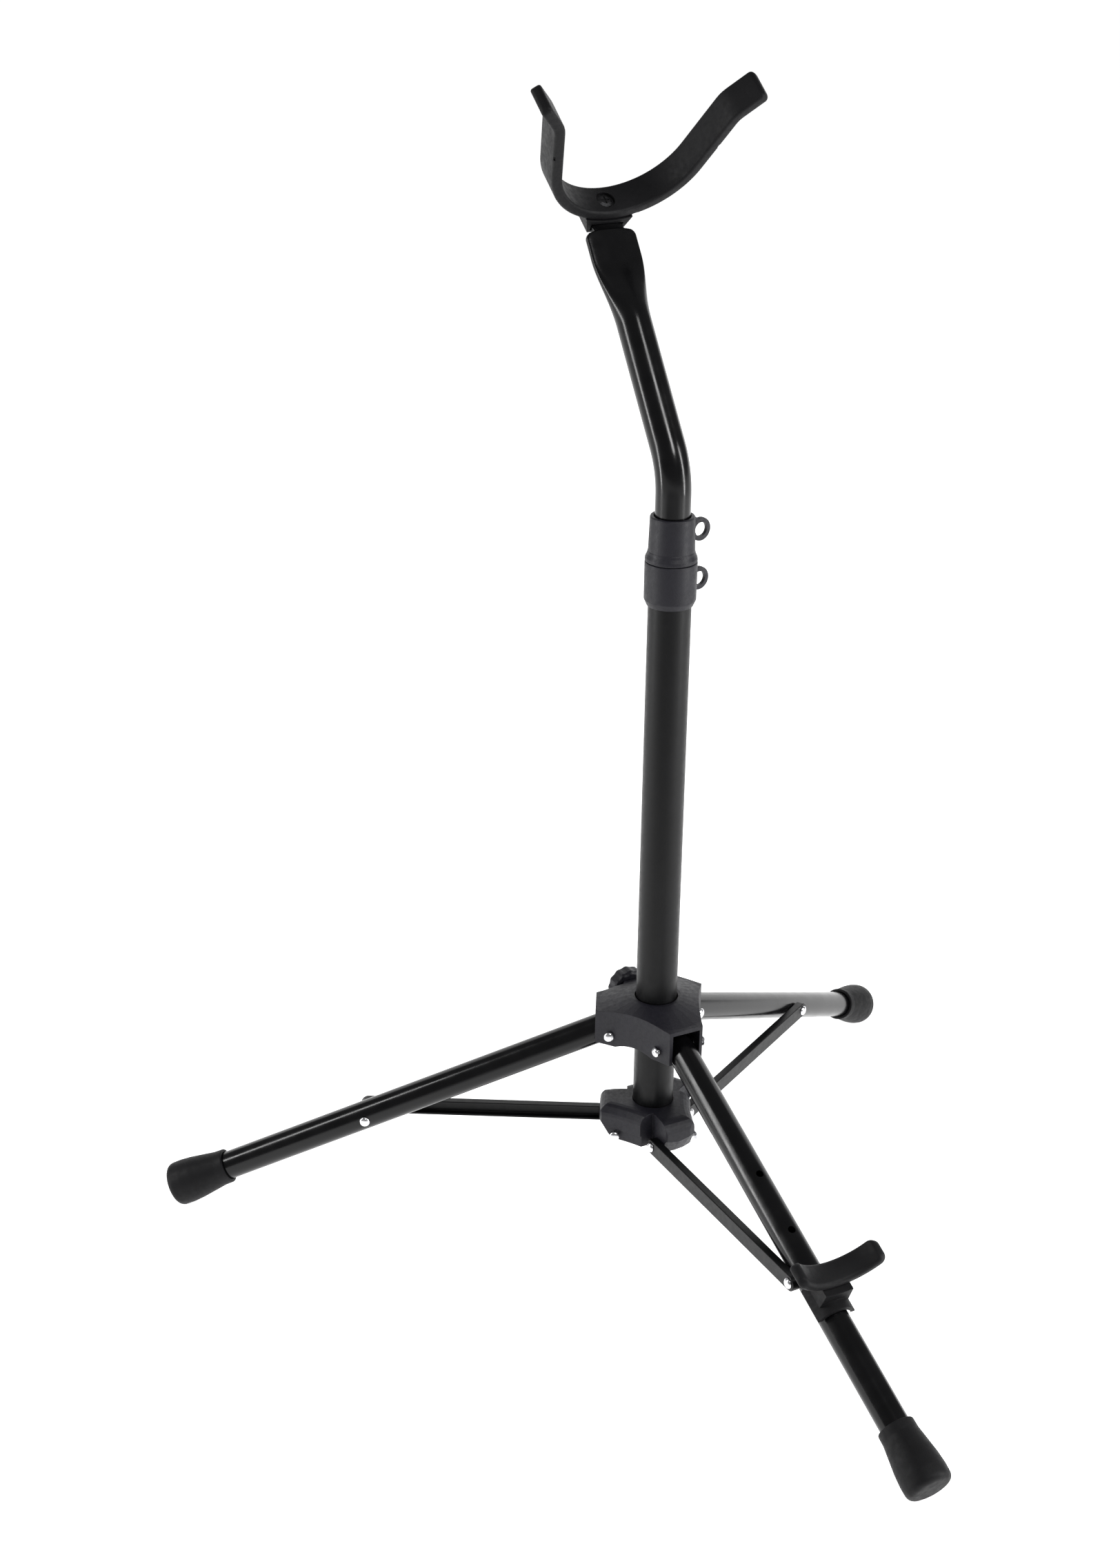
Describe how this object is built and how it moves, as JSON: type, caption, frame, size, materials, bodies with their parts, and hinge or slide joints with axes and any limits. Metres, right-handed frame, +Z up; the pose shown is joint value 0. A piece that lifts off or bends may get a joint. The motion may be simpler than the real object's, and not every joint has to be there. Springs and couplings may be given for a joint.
{
  "type": "saxophone stand",
  "caption": "Folding tripod stand for an alto or tenor saxophone, with a telescopic column, a rubber-covered yoke for the bell and a small cradle on one leg.",
  "frame": {"origin": "middle of the footprint box, on the floor", "axes": "+Z up the column, -Y towards the front leg that carries the cradle, +X to its right as seen from the front"},
  "size_m": [0.5478, 0.478, 0.7101],
  "materials": {
    "gloss_paint": "gloss black powder coat",
    "satin_paint": "satin black powder coat",
    "black_plastic": "fine moulded texture",
    "black_rubber": "matte",
    "bright_steel": "bright zinc",
    "plain_steel": "black oxide",
    "brass_insert": "plain"
  },
  "bodies": {
    "column": {"column_tube": "satin_paint", "column_end_plug": "black_plastic", "lower_hub": "black_plastic", "lower_hub_screw": "plain_steel", "column_collar": "black_plastic", "strut_inner_rivet_front": "bright_steel", "strut_inner_rivet_left": "bright_steel", "strut_inner_rivet_right": "bright_steel"},
    "upper_hub": {"upper_hub": "black_plastic", "hub_clamp_insert": "brass_insert", "leg_pivot_rivet_front": "bright_steel", "leg_pivot_rivet_left": "bright_steel", "leg_pivot_rivet_right": "bright_steel"},
    "hub_knob": {"hub_knob": "black_plastic", "hub_clamp_screw": "plain_steel"},
    "lock_collar": {"lock_collar": "black_plastic", "collet": "black_plastic"},
    "height_bush": {"guide_bush": "black_plastic"},
    "mast": {"upper_tube": "gloss_paint", "yoke_core": "plain_steel", "yoke_cover": "black_rubber", "yoke_boss": "black_rubber", "yoke_screw": "plain_steel", "yoke_nut": "bright_steel"},
    "cradle": {"cradle_sleeve": "black_rubber", "cradle_cover": "black_rubber", "cradle_core": "plain_steel", "cradle_peg": "plain_steel"},
    "leg_front": {"leg_front": "gloss_paint", "foot_front": "black_rubber", "leg_rivet_front": "bright_steel"},
    "strut_front": {"strut_front": "satin_paint", "strut_outer_rivet_front": "bright_steel"},
    "leg_left": {"leg_left": "gloss_paint", "foot_left": "black_rubber", "leg_rivet_left": "bright_steel"},
    "strut_left": {"strut_left": "satin_paint", "strut_outer_rivet_left": "bright_steel"},
    "leg_right": {"leg_right": "gloss_paint", "foot_right": "black_rubber", "leg_rivet_right": "bright_steel"},
    "strut_right": {"strut_right": "satin_paint", "strut_outer_rivet_right": "bright_steel"}
  },
  "joints": [
    {"name": "fold", "type": "slide", "parent": "column", "child": "upper_hub", "axis": [0, 0, 1], "range_m": [0, 0.255]},
    {"name": "leg_front_fold", "type": "hinge", "parent": "upper_hub", "child": "leg_front", "pos_m": [0, 0.04533, 0.1406], "axis": [1, 0, 0], "range_deg": [0, 59.62]},
    {"name": "strut_front_fold", "type": "hinge", "parent": "column", "child": "strut_front", "pos_m": [0, 0.05023, 0.06875], "axis": [-1, 0, 0], "range_deg": [0, 82.47]},
    {"name": "leg_left_fold", "type": "hinge", "parent": "upper_hub", "child": "leg_left", "pos_m": [-0.02485, 0.08838, 0.1406], "axis": [-0.5, -0.866, 0], "range_deg": [0, 59.62]},
    {"name": "strut_left_fold", "type": "hinge", "parent": "column", "child": "strut_left", "pos_m": [-0.02061, 0.08593, 0.06875], "axis": [0.5, 0.866, 0], "range_deg": [0, 82.47]},
    {"name": "leg_right_fold", "type": "hinge", "parent": "upper_hub", "child": "leg_right", "pos_m": [0.02485, 0.08838, 0.1406], "axis": [-0.5, 0.866, 0], "range_deg": [0, 59.62]},
    {"name": "strut_right_fold", "type": "hinge", "parent": "column", "child": "strut_right", "pos_m": [0.02061, 0.08593, 0.06875], "axis": [0.5, -0.866, 0], "range_deg": [0, 82.47]},
    {"name": "height", "type": "slide", "parent": "column", "child": "height_bush", "axis": [0, 0, 1], "range_m": [-0.01, 0.12]},
    {"name": "mast_swivel", "type": "hinge", "parent": "height_bush", "child": "mast", "pos_m": [0, 0.07403, 0.3], "axis": [0, 0, 1], "continuous": true},
    {"name": "lock_collar_twist", "type": "hinge", "parent": "column", "child": "lock_collar", "pos_m": [0, 0.07403, 0.46], "axis": [0, 0, 1], "range_deg": [0, 60]},
    {"name": "hub_knob_turn", "type": "hinge", "parent": "upper_hub", "child": "hub_knob", "pos_m": [0, 0.11103, 0.151], "axis": [0, 1, 0], "range_deg": [0, 360]},
    {"name": "cradle_lift", "type": "slide", "parent": "leg_front", "child": "cradle", "axis": [0, -0.4226, 0.9063], "range_m": [0, 0.03]}
  ],
  "couplings": [
    {"joint": "leg_front_fold", "follows": "fold", "rad_per_m": 4.08},
    {"joint": "strut_front_fold", "follows": "fold", "rad_per_m": 5.6437},
    {"joint": "leg_left_fold", "follows": "fold", "rad_per_m": 4.08},
    {"joint": "strut_left_fold", "follows": "fold", "rad_per_m": 5.6437},
    {"joint": "leg_right_fold", "follows": "fold", "rad_per_m": 4.08},
    {"joint": "strut_right_fold", "follows": "fold", "rad_per_m": 5.6437}
  ]
}
